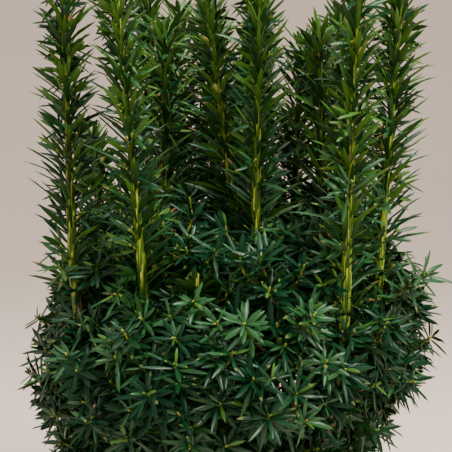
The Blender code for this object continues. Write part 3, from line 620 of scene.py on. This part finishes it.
def dress_leaders(needles):
    """Needles up the leaders: one each LEADER_PITCH, a golden angle on from the last. They
    grow shorter, steeper and fresher towards the tip."""
    sides = []
    for k in range(LEADER_COUNT):
        foot = STEM_LOW[k, 2] - 0.030
        top = STEM_TOP[k]
        z = np.arange(foot, top - 0.001, LEADER_PITCH)
        mass = np.full(len(z), k)
        height = np.clip((z - foot) / (top - foot), 0.0, 1.0)
        heading = stem_heading(mass, z)
        spin = np.arange(len(z)) * GOLDEN_ANGLE + k + rng.normal(0.0, 0.14, len(z))
        out = frame_round(heading, spin)
        root = stem_axis(mass, z) + out * (leader_radius(k, z) * 0.85)[:, None]
        lean = np.radians(51.0 - 18.0 * height ** 1.3 + rng.normal(0.0, 8.0, len(z)))[:, None]
        ahead = unit(heading * np.cos(lean) + out * np.sin(lean))
        bend = unit(heading * np.sin(lean) - out * np.cos(lean))
        swing = rng.normal(0.0, 0.80, len(z))[:, None]
        face = unit(bend + np.cross(ahead, bend) * swing)
        ragged = 1.0 + 0.10 * np.sin(z * 190.0 + 2.3 * k) * np.cos(z * 71.0 + k)
        length = (LEADER_NEEDLE - 0.012 * height) * ragged * rng.uniform(0.68, 1.17, len(z))
        length = length * np.clip((top - z) / 0.008 + 0.50, 0.0, 1.0)
        width = 0.0035 * rng.uniform(0.86, 1.12, len(z))
        fresh = rng.uniform(0.0, 1.0, len(z)) < 0.16 + 1.00 * np.clip(height - 0.25, 0.0, 1.0)
        tone = np.where(fresh, 3, rng.choice(3, len(z), p=(0.05, 0.29, 0.66)))
        tipped = np.where(rng.uniform(0.0, 1.0, len(z)) < 0.20, 1, 0)
        tipped = np.where(rng.uniform(0.0, 1.0, len(z)) < 0.02, 2, tipped)
        curve = rng.normal(0.15, 0.08, len(z))
        facing = np.clip(out @ np.append(open_side(k), 0.0) * 1.6, 0.0, 1.0)
        bare = 0.80 * facing * (1.0 - np.clip((z - STEM_LOW[k, 2]) / 0.100, 0.0, 1.0))
        kept = rng.uniform(0.0, 1.0, len(z)) > bare
        rows = (root, ahead, face, bend, length, width, curve, tone, tipped, mass)
        needles.add(*[row[kept] for row in rows])
        sides.append(leader_side_shoots(k, foot + 0.012, top))
    return join_shoots(*sides)


def leader_side_shoots(k, foot, top):
    """Short side shoots in the axils of a leader, longer low down."""
    z = np.arange(foot, top - 0.012, 0.0085)
    z = z + rng.uniform(-0.003, 0.003, len(z))
    mass = np.full(len(z), k)
    height = (z - foot) / (top - foot)
    heading = stem_heading(mass, z)
    out = frame_round(heading, rng.uniform(0.0, 2.0 * math.pi, len(z)))
    axis = unit(heading * 0.85 + out * 0.75)
    start = stem_axis(mass, z)
    length = 0.007 + 0.016 * (1.0 - height) * rng.uniform(0.0, 1.0, len(z)) ** 1.5
    end = start + unit(heading * 0.70 + out) * length[:, None]
    return Shoots(start, end, axis, mass, 0.30)


def leader_buds():
    """Two large buds on each leader, in the axils of needles: their places, directions and
    lengths."""
    k = np.repeat(np.arange(LEADER_COUNT), 2)
    part = np.tile((0.50, 0.78), LEADER_COUNT) + rng.uniform(-0.10, 0.10, len(k))
    z = STEM_LOW[k, 2] + (STEM_TOP[k] - STEM_LOW[k, 2]) * part
    heading = stem_heading(k, z)
    out = frame_round(heading, rng.uniform(0.0, 2.0 * math.pi, len(k)))
    return stem_axis(k, z) + out * 0.0035, unit(heading * 0.9 + out * 0.5), rng.uniform(0.006, 0.0085, len(k))


def leader_radius(k, z):
    """A leader's stem thins evenly above the bush, and faster over its last 20 mm. A scar of
    last year's bud scales is a bell at its height, and the stem is thicker under it."""
    low = STEM_LOW[k, 2]
    part = np.clip((z - low) / (STEM_TOP[k] - low), 0.0, 1.0)
    radius = 0.0035 - 0.0020 * part ** 0.7
    if k in YEAR_SCARS:
        above = z - YEAR_SCARS[k]
        radius = radius * (1.05 - 0.10 * np.tanh(above / 0.002)) + 0.0006 * np.exp(-(above / 0.0011) ** 2)
    return radius * np.clip((STEM_TOP[k] - z) / 0.020 + 0.35, 0.35, 1.0)


# ---------------------------------------------------------------- finishes

class Wire:
    """A number that changes over a surface. A sum or product of wires adds its Math node."""

    def __init__(self, finish, socket):
        self.finish = finish
        self.socket = socket

    def _math(self, operation, *values):
        rows = {k: value for k, value in enumerate(values)}
        return self.finish.node("ShaderNodeMath", {"operation": operation}, rows)

    def __add__(self, other):
        return self._math("ADD", self, other)

    __radd__ = __add__

    def __sub__(self, other):
        return self._math("SUBTRACT", self, other)

    def __rsub__(self, other):
        return self._math("SUBTRACT", other, self)

    def __mul__(self, other):
        return self._math("MULTIPLY", self, other)

    __rmul__ = __mul__

    def __pow__(self, other):
        return self._math("POWER", self, other)


class Finish:
    """A Principled material in the making."""

    def __init__(self, name, colour, roughness, specular=0.5):
        self.material = bpy.data.materials.new(name)
        self.material.use_nodes = True
        self.tree = self.material.node_tree
        self.shader = self.tree.nodes["Principled BSDF"]
        self.shader.inputs["Base Color"].default_value = (*colour, 1.0)
        self.shader.inputs["Roughness"].default_value = roughness
        self.shader.inputs["Specular IOR Level"].default_value = specular
        self.material.diffuse_color = (*colour, 1.0)

    def node(self, kind, settings=None, values=None, output=0):
        """Any node: its settings first, then the values or wires of its sockets."""
        made = self.tree.nodes.new(kind)
        for key, value in (settings or {}).items():
            if key == "stops":
                self.ramp(made.color_ramp, value)
            else:
                setattr(made, key, value)
        for key, value in (values or {}).items():
            self.feed(made.inputs[key], value)
        return Wire(self, made.outputs[output])

    def ramp(self, ramp, stops):
        """A ramp's stops: place and colour."""
        while len(ramp.elements) < len(stops):
            ramp.elements.new(0.5)
        for element, (place, colour) in zip(ramp.elements, stops):
            element.position = place
            element.color = (*colour, 1.0)

    def feed(self, socket, value):
        """A wire is linked, and a plain value is set."""
        if isinstance(value, Wire):
            self.tree.links.new(value.socket, socket)
        else:
            socket.default_value = value

    def set(self, name, value):
        """Feed one of the shader's own sockets."""
        self.feed(self.shader.inputs[name], value)

    def mix(self, factor, first, second):
        """A blend of two colours."""
        rows = {"Factor": factor, 6: first, 7: second}
        return self.node("ShaderNodeMix", {"data_type": "RGBA"}, rows, 2)

    def noise(self, scale, detail=3.0, stretch=(1.0, 1.0, 1.0)):
        """Noise on object coordinates, stretched along the axes."""
        place = self.node("ShaderNodeTexCoord", output=3)
        turned = self.node("ShaderNodeMapping", None, {"Vector": place, "Scale": stretch})
        rows = {"Vector": turned, "Scale": scale, "Detail": detail}
        return self.node("ShaderNodeTexNoise", None, rows)

    def attribute(self, name):
        """A value that the piece's points carry."""
        return self.node("ShaderNodeAttribute", {"attribute_name": name}, output=2)

    def bump(self, height, strength, distance):
        """Relief from a height."""
        rows = {"Height": height, "Strength": strength, "Distance": distance}
        self.set("Normal", self.node("ShaderNodeBump", None, rows))


def leaf_finish(name, colour, roughness, specular=0.30):
    """A needle's waxy skin: a plain tone whose gloss changes a little from place to place."""
    made = Finish(name, colour, roughness, specular)
    made.set("Roughness", made.noise(260.0, 2.0) * 0.22 + (roughness - 0.11))
    return made.material


LEAF_FINISHES = (
    leaf_finish("needle deep green", (0.0018, 0.0265, 0.0085), 0.33, 0.13),
    leaf_finish("needle green", (0.0032, 0.0385, 0.0105), 0.36, 0.30),
    leaf_finish("needle light green", (0.0125, 0.0720, 0.0165), 0.37, 0.34),
    leaf_finish("needle fresh green", (0.0400, 0.1280, 0.0120), 0.38, 0.32),
    leaf_finish("needle underside", (0.0095, 0.0420, 0.0060), 0.45, 0.16),
    leaf_finish("needle fresh underside", (0.0430, 0.1180, 0.0120), 0.45, 0.16),
    leaf_finish("needle yellow tip", (0.0950, 0.135, 0.022), 0.50),
    leaf_finish("needle brown tip", (0.1700, 0.090, 0.035), 0.60),
)


def bark_finish():
    """Reddish brown bark in thin upright flakes, with a grey bloom and green dust."""
    made = Finish("flaking bark", (0.120, 0.065, 0.040), 0.85)
    flakes = made.noise(230.0, 5.0, (1.0, 1.0, 0.20))
    fine = made.noise(760.0, 4.0, (1.0, 1.0, 0.35))
    brown = made.node("ShaderNodeValToRGB", {"stops": (
        (0.34, (0.026, 0.014, 0.010)), (0.48, (0.120, 0.056, 0.034)), (0.64, (0.270, 0.170, 0.115)))},
        {"Fac": flakes})
    dust = made.mix(fine * 0.45, brown, (0.090, 0.095, 0.050, 1.0))
    made.set("Base Color", dust)
    made.set("Roughness", flakes * 0.25 + 0.70)
    made.bump(flakes * 0.7 + fine * 0.3, 0.8, 0.0016)
    return made.material


def stem_finish():
    """Green stems with ridges below each needle, browner with age. Along the ridges the colour runs from a
    near-black green in the grooves to cream on the crests: partly the stem's own paler ridges, partly painted shade
    in the grooves and a painted highlight on the crests.
    """
    made = Finish("ridged stem", (0.110, 0.150, 0.030), 0.50, 0.22)
    ridge = made.attribute("ridge")
    age = made.attribute("age")
    mottle = made.noise(300.0, 3.0, (1.0, 1.0, 0.4))
    streak = made.noise(820.0, 2.0, (1.0, 1.0, 0.045))
    # Ramp on the ridge value: the darkest stop is painted shade in the grooves, and the cream top stop is a painted
    # highlight along the ridges' crests, over the stem's own green.
    green = made.node("ShaderNodeValToRGB", {"stops": (
        (0.34, (0.008, 0.032, 0.003)), (0.46, (0.045, 0.105, 0.005)), (0.57, (0.170, 0.245, 0.011)),
        (0.71, (0.520, 0.520, 0.080)))}, {"Fac": ridge * 0.36 + streak * 0.90 - 0.20})
    brown = made.node("ShaderNodeValToRGB", {"stops": (
        (0.30, (0.060, 0.035, 0.018)), (0.70, (0.200, 0.130, 0.060)))}, {"Fac": mottle})
    made.set("Base Color", made.mix(age, green, brown))
    made.set("Roughness", mottle * 0.25 + 0.36)
    made.bump(streak, 0.6, 0.0008)
    return made.material


def bud_finish(name, colour, scale):
    """A bud's papery skin: a plain tone with a little change of gloss."""
    made = Finish(name, colour, 0.55)
    made.set("Roughness", made.noise(scale, 2.0) * 0.3 + 0.40)
    return made.material


# ---------------------------------------------------------------- wood

def wrinkle(angle, along, turns, scale, seed):
    """Upright wrinkles: a sum of waves round the stem whose phases drift along it, ridged by
    one minus the absolute value."""
    local = np.random.default_rng(seed)
    total = 0.0
    for k, turn in enumerate(turns):
        phase = local.uniform(0.0, 2.0 * math.pi)
        drift = local.uniform(-1.0, 1.0) * scale
        sway = np.sin(along * scale * (0.7 + 0.4 * k) + phase * 3.0)
        total = total + (1.0 - np.abs(np.sin(turn * 0.5 * angle + drift * along + sway + phase))) / (k + 1.0)
    return total / len(turns)


def build_trunk():
    """The trunk: at height z and angle a the radius is the source's taper and flare, times
    five root lobes that die out upward, plus flaky wrinkles."""
    sides = 72
    z = np.concatenate((np.linspace(0.0, 0.03, 24), np.linspace(0.031, TRUNK_TOP, 76)))
    angle = 2.0 * math.pi * np.arange(sides)[None, :] / sides
    height = z[:, None]
    lobes = 1.0 + 0.16 * np.exp(-height / 0.012) * np.cos(5.0 * angle + 0.6)
    bark = wrinkle(angle, height, (9, 16, 26), 120.0, 3) - 0.35
    radius = trunk_radius(height) * lobes + 0.0022 * bark
    middle = trunk_axis(z)[:, None]
    out = np.stack((np.cos(angle), np.sin(angle), 0.0 * angle), axis=-1)
    points = (middle + out * radius[..., None]).reshape(-1, 3)
    points = np.concatenate((points, ((0.0, 0.0, 0.0),), trunk_axis(np.array([TRUNK_TOP])) + UP * 0.0006))
    piece = add_piece("trunk_bark", points, tube_faces(len(z), sides), [BARK])
    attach(piece, "root")
    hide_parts("trunk")


def build_boughs():
    """The boughs: tubes along the source's bows, thick at the trunk by a short collar, with
    wrinkled bark."""
    masses, start, middle, last, end = bough_bows()
    t = np.linspace(0.0, 1.0, 26)[None, :, None]
    lines = bow(start[:, None], middle[:, None], last[:, None], t)
    tail = last[:, None] + (end - last)[:, None] * np.array((0.5, 1.0))[None, :, None]
    lines = np.concatenate((lines, tail), axis=1)
    walked = np.cumsum(np.linalg.norm(np.diff(lines, axis=1, prepend=lines[:, :1]), axis=2), axis=1)
    part = walked / walked[:, -1:]
    radius = BOUGH_ROOT_RADIUS + (BOUGH_TIP_RADIUS - BOUGH_ROOT_RADIUS) * part
    radius = radius * (1.0 + 0.35 * np.exp(-walked / 0.012))
    sides = 14
    angle = 2.0 * math.pi * np.arange(sides)[None, None, :] / sides
    bark = wrinkle(angle, walked[..., None], (5, 8), 160.0, 5) - 0.35
    points, faces = tubes(lines, radius[..., None] + 0.00045 * bark, sides)
    piece = add_piece("bough_bark", points, faces, [BARK])
    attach(piece, "root")
    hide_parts(*[NODES[k].replace("_", "_bough_") for k in masses])


def build_stems():
    """The stems: round tubes that stand out in a ridge below each needle. A ridge is the
    greatest of the bells of the nearest needles above, at their own angles, which fade
    downward over 26 mm."""
    sides = 16
    points, faces, ridges, ages = [], [], [], []
    count = 0
    for k in range(UPRIGHT):
        leader = k < LEADER_COUNT
        top = STEM_TOP[k] + (0.001 if leader else 0.0)
        z = np.arange(STEM_FOOT[k] - 0.001, top, 0.0026)
        mass = np.full(len(z), k)
        line = stem_axis(mass, z)
        base = STEM_LOW[k, 2] - 0.030
        index = np.floor((z - base) / LEADER_PITCH)[:, None] + 1.0 + np.arange(26)[None, :]
        ahead = (base + index * LEADER_PITCH - z[:, None]) / 0.026
        turn = index * GOLDEN_ANGLE + k
        angle = 2.0 * math.pi * np.arange(sides) / sides
        gap = np.angle(np.exp(1j * (angle[None, None, :] - turn[..., None])))
        bells = np.exp(-(gap / 0.17) ** 2) * np.clip(1.0 - ahead, 0.0, 1.0)[..., None] ** 0.6
        ridge = bells.max(axis=1)
        if leader:
            radius = leader_radius(k, z)
        else:
            radius = 0.0026 - 0.0010 * (z - z[0]) / (z[-1] - z[0])
        age = np.clip((STEM_LOW[k, 2] - 0.020 - z) / 0.050, 0.0, 1.0)[:, None] * np.ones(sides)
        if k in YEAR_SCARS:
            age = np.maximum(age, 0.9 * np.exp(-((z - YEAR_SCARS[k]) / 0.0016) ** 2)[:, None])
        wall = radius[:, None] * (0.86 + 0.26 * ridge)
        made, shape = stem_tube(line, wall)
        points.append(made)
        faces.append(shape + count)
        count += len(made)
        # The ridge value also goes to the stem finish, which paints the grooves darker and the crests cream: painted
        # shade and a painted highlight on top of the real relief.
        ridges.append(np.concatenate((ridge.ravel(), (0.0, 0.8))))
        ages.append(np.concatenate((age.ravel(), (1.0, age[-1, 0]))))
    t = np.linspace(0.0, 1.0, 40)[None, :, None]
    lines = bow(SKIRT_START[:, None], SKIRT_MIDDLE[:, None], SKIRT_END[:, None], t)
    angle = 2.0 * math.pi * np.arange(sides)[None, None, :] / sides
    along = t * 0.125 + 0.0 * lines[..., :1]
    bark = wrinkle(angle, along, (5, 8), 160.0, 8)
    radius = np.linspace(0.0030, 0.0019, 40)[None, :, None]
    made, shape = tubes(lines, radius + 0.0004 * (bark - 0.35), sides)
    points.append(made)
    faces.append(shape + count)
    ridges.append(np.full(len(made), 0.3))
    ages.append(np.full(len(made), 0.9))
    values = {"ridge": np.concatenate(ridges), "age": np.concatenate(ages)}
    piece = add_piece("stems", np.concatenate(points), np.concatenate(faces), [STEM], attributes=values)
    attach(piece, "root")


def stem_tube(line, wall):
    """One upright tube whose angle 0 is the level side that the needles are counted from."""
    heading = unit(np.gradient(line, axis=0))
    rings, sides = wall.shape
    angle = 2.0 * math.pi * np.arange(sides) / sides
    out = frame_round(np.repeat(heading[:, None], sides, axis=1), np.broadcast_to(angle, wall.shape))
    points = (line[:, None] + out * wall[..., None]).reshape(-1, 3)
    foot = line[:1] - heading[:1] * 0.0004
    tip = line[-1:] + heading[-1:] * 0.0012
    faces = tube_faces(rings, sides)
    return np.concatenate((points, foot, tip)), faces


def build_twigs(name, shoots, root_radius, tip_radius, rings, sides, age):
    """Twigs along the shoots' bows, thinner towards their tips."""
    count = len(shoots.owner)
    t = np.linspace(0.0, 1.0, rings)
    lines = shoots.at(np.arange(count)[:, None], np.broadcast_to(t, (count, rings)))[0]
    radii = np.broadcast_to(root_radius + (tip_radius - root_radius) * t, (count, rings))
    points, faces = tubes(lines, radii, sides)
    per = rings * sides + 2
    side = np.arange(sides)
    # Alternate points get a higher ridge value, which the stem finish turns into pale streaks with darker ones
    # between. This is partly the twig's own paler ridges, and partly a painted highlight and painted shade of ridges
    # that the smooth tube does not have.
    ridge_tone_and_painted_light = 0.35 + 0.45 * ((side[None, :] + np.arange(rings)[:, None]) % 2)
    ridge = np.tile(np.concatenate((ridge_tone_and_painted_light.ravel(), (0.3, 0.7))), count)
    older = np.concatenate((np.repeat(np.clip(age - 1.5 * t, 0.0, 1.0), sides), (age, 0.0)))
    values = {"ridge": ridge, "age": np.tile(older, count)}
    assert len(ridge) == count * per
    piece = add_piece(name, points, faces, [STEM], attributes=values)
    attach(piece, "root")


def build_buds(name, place, axis, size, tone):
    """Buds: closed spindles of five sides, widest a third of the way up."""
    count = len(place)
    levels = np.array((0.0, 0.38, 0.78))
    girth = np.array((0.20, 0.36, 0.20))
    lines = place[:, None] + axis[:, None] * size[:, None, None] * levels[None, :, None]
    points, faces = tubes(lines, size[:, None] * girth[None, :], 5, 1.2)
    slots = np.repeat(tone, len(faces) // count)
    piece = add_piece(name, points, faces, list(BUD_FINISHES), slots)
    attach(piece, "root")


# ---------------------------------------------------------------- the plant

BARK = bark_finish()
STEM = stem_finish()
BUD_FINISHES = (
    bud_finish("bud yellow green", (0.220, 0.270, 0.038), 500.0),
    bud_finish("bud amber", (0.330, 0.235, 0.045), 500.0),
    bud_finish("bud brown", (0.200, 0.090, 0.035), 500.0),
)

build_trunk()
build_boughs()
build_stems()

twigs = main_twigs()
risers = rising_shoots(56)
bold = bold_shoots(84)
spray = edge_spray()
outer = fine_shoots(twigs, FINE_COUNT, 0.37, (0.006, 0.031), 0.24, 0.010, 0.060)
inner = fine_shoots(twigs, DEEP_COUNT, 1.91, (0.022, 0.052), 0.35, 0.010, 0.060)
needles = Needles()
laterals = dress_leaders(needles)


def spray_tones(shoots, weights):
    """A tone for each spray, dealt out by chance with the given weights."""
    return rng.choice(4, len(shoots.owner), p=weights)


dress(needles, bold, 44, 0.056, NEEDLE_LENGTH, NEEDLE_WIDTH, spray_tones(bold, (0.36, 0.44, 0.20, 0.0)),
      rng.uniform(0.0, 0.7, len(bold.owner)), 0.08, 1.4)
dress(needles, spray, 46, 0.042, NEEDLE_LENGTH * 1.10, NEEDLE_WIDTH * 0.92, spray_tones(spray, (0.0, 0.5, 0.5, 0.0)),
      np.full(1, 0.7), 0.20, 1.2, (34.0, 30.0), False)
dress(needles, twigs, 26, 0.040, NEEDLE_LENGTH, NEEDLE_WIDTH, spray_tones(twigs, (0.34, 0.43, 0.23, 0.0)),
      rng.uniform(0.0, 0.8, len(twigs.owner)), 0.06)
dress(needles, outer, 20, 0.030, NEEDLE_LENGTH, NEEDLE_WIDTH, spray_tones(outer, (0.38, 0.40, 0.22, 0.0)),
      rng.uniform(0.0, 0.9, len(outer.owner)), 0.06)
# The shoots deep inside the crown take the deep green tone in 85 of 100 sprays. This is a painted shade of the
# crown's interior, on top of the tones dealt out at random.
dress(needles, inner, 11, 0.028, NEEDLE_LENGTH, NEEDLE_WIDTH, spray_tones(inner, (0.85, 0.15, 0.0, 0.0)),
      rng.uniform(0.0, 0.9, len(inner.owner)), 0.04)
dress(needles, risers, 32, 0.060, NEEDLE_LENGTH, NEEDLE_WIDTH, spray_tones(risers, (0.30, 0.40, 0.26, 0.04)),
      rng.uniform(0.0, 0.4, len(risers.owner)), 0.12, 1.5, (30.0, 40.0))
dress(needles, laterals, 12, 0.013, 0.0205, 0.0036, spray_tones(laterals, (0.06, 0.24, 0.44, 0.26)),
      rng.uniform(0.0, 0.4, len(laterals.owner)), 0.18, 1.8, (22.0, 44.0))

angles = np.degrees(np.arctan2(STEM_LOW[:, 1], STEM_LOW[:, 0]))
upright = np.arange(UPRIGHT)
FRONT = upright[(angles > -150.0) & (angles <= -70.0)]
RIGHT = upright[(angles > -70.0) & (angles <= 30.0)]
BACK = upright[(angles > 30.0) & (angles <= 125.0)]
LEFT = upright[(angles > 125.0) | (angles <= -150.0)]
SKIRT = np.arange(UPRIGHT, UPRIGHT + SKIRT_COUNT)
for label, masses in (("front", FRONT), ("right", RIGHT), ("back", BACK), ("left", LEFT), ("skirt", SKIRT)):
    needles.build("needles_" + label, masses, LEAF_FINISHES)

build_twigs("main_twigs", join_shoots(twigs, risers, bold, spray), 0.0015, 0.0010, 9, 6, 1.0)
build_twigs("fine_twigs", join_shoots(outer, inner), 0.0010, 0.0007, 6, 5, 0.7)
build_twigs("leader_side_twigs", laterals, 0.0010, 0.0007, 5, 5, 0.3)

tips = join_shoots(twigs, risers, bold, spray, outer, laterals)
per = 2
index = np.repeat(np.arange(len(tips.owner)), per)
place, heading = tips.at(index, np.ones(len(index)))
spin = rng.uniform(0.0, 2.0 * math.pi, len(index))
out = frame_round(heading, spin)
spread = rng.uniform(0.0, 1.0, len(index))[:, None]
rows = (place + out * 0.0010 * spread, unit(heading + out * 0.8 * spread),
        rng.uniform(0.0010, 0.0025, len(index)), rng.choice(3, len(index), p=(0.84, 0.11, 0.05)))
large = (*leader_buds(), np.tile((0, 1), LEADER_COUNT))
build_buds("buds", *[np.concatenate(pair) for pair in zip(rows, large)])


# ---------------------------------------------------------------- stage, camera and light

def build_stage():
    """A pale floor that turns up into a low wall all round: the height is zero out to 2.4 m,
    and then rises by a cosine to 2.2 m."""
    sides = 72
    radius = np.concatenate((np.linspace(0.0, 2.4, 7)[1:], np.linspace(2.5, 8.0, 26)))
    part = np.clip((radius - 2.4) / 5.6, 0.0, 1.0)
    height = 2.2 * (1.0 - np.cos(part * math.pi * 0.5))
    angle = 2.0 * math.pi * np.arange(sides)[None, :] / sides
    x = radius[:, None] * np.cos(angle)
    y = radius[:, None] * np.sin(angle)
    points = np.stack((x, y, height[:, None] + 0.0 * x), axis=-1).reshape(-1, 3)
    a = (np.arange(len(radius) - 1)[:, None] * sides + np.arange(sides)[None, :])
    b = (np.arange(len(radius) - 1)[:, None] * sides + (np.arange(sides)[None, :] + 1) % sides)
    faces = np.stack((a, a + sides, b + sides, a, b + sides, b), axis=-1).reshape(-1, 3)
    ring = np.arange(sides)
    middle = np.stack((ring, (ring + 1) % sides, np.full(sides, len(points))), axis=-1)
    points = np.concatenate((points, ((0.0, 0.0, 0.0),)))
    made = Finish("studio floor", (0.82, 0.70, 0.60), 0.95, 0.1)
    cloud = made.noise(1.6, 3.0)
    made.set("Base Color", made.mix(cloud, (0.83, 0.675, 0.560, 1.0), (0.90, 0.760, 0.655, 1.0)))
    add_piece("studio_floor", points, np.concatenate((faces, middle)), [made.material])


def build_light(name, place, target, size, power, colour):
    """A square soft light at a place, turned to a target."""
    lamp = bpy.data.lights.new(name, "AREA")
    lamp.shape = "SQUARE"
    lamp.size = size
    lamp.energy = power
    lamp.color = colour
    made = bpy.data.objects.new(name, lamp)
    look(made, place, target)
    bpy.context.scene.collection.objects.link(made)


def look(thing, place, target):
    """Put a thing at a place, with its -Z towards a target."""
    place = np.array(place)
    back = unit(place - np.array(target))
    side = unit(np.cross(UP, back))
    turn = np.eye(4)
    turn[:3, 0], turn[:3, 1], turn[:3, 2], turn[:3, 3] = side, np.cross(back, side), back, place
    thing.matrix_world = Matrix(turn.tolist())


def build_camera():
    """The photograph's view: level with the middle of the leaders, three degrees down."""
    lens = bpy.data.cameras.new("camera")
    lens.lens = 100.0
    lens.sensor_width = 36.0
    made = bpy.data.objects.new("camera", lens)
    bpy.context.scene.collection.objects.link(made)
    drop = math.radians(3.0)
    look(made, (-0.003, -0.94 * math.cos(drop), 0.280 + 0.94 * math.sin(drop)), (-0.003, 0.0, 0.280))
    bpy.context.scene.camera = made


build_stage()
build_light("key", (0.80, -0.95, 1.80), (0.0, 0.0, 0.28), 0.8, 74.0, (1.0, 0.96, 0.90))
build_light("top", (-0.35, -0.10, 2.30), (0.0, 0.0, 0.28), 1.2, 14.0, (0.95, 0.98, 1.0))
build_light("fill", (-1.60, -1.40, 1.00), (0.0, 0.0, 0.25), 1.4, 6.0, (0.90, 0.96, 1.0))
world = bpy.data.worlds.new("studio")
bpy.context.scene.world = world
world.use_nodes = True
sky = world.node_tree.nodes["Background"]
sky.inputs["Color"].default_value = (0.90, 0.85, 0.80, 1.0)
sky.inputs["Strength"].default_value = 0.92
build_camera()
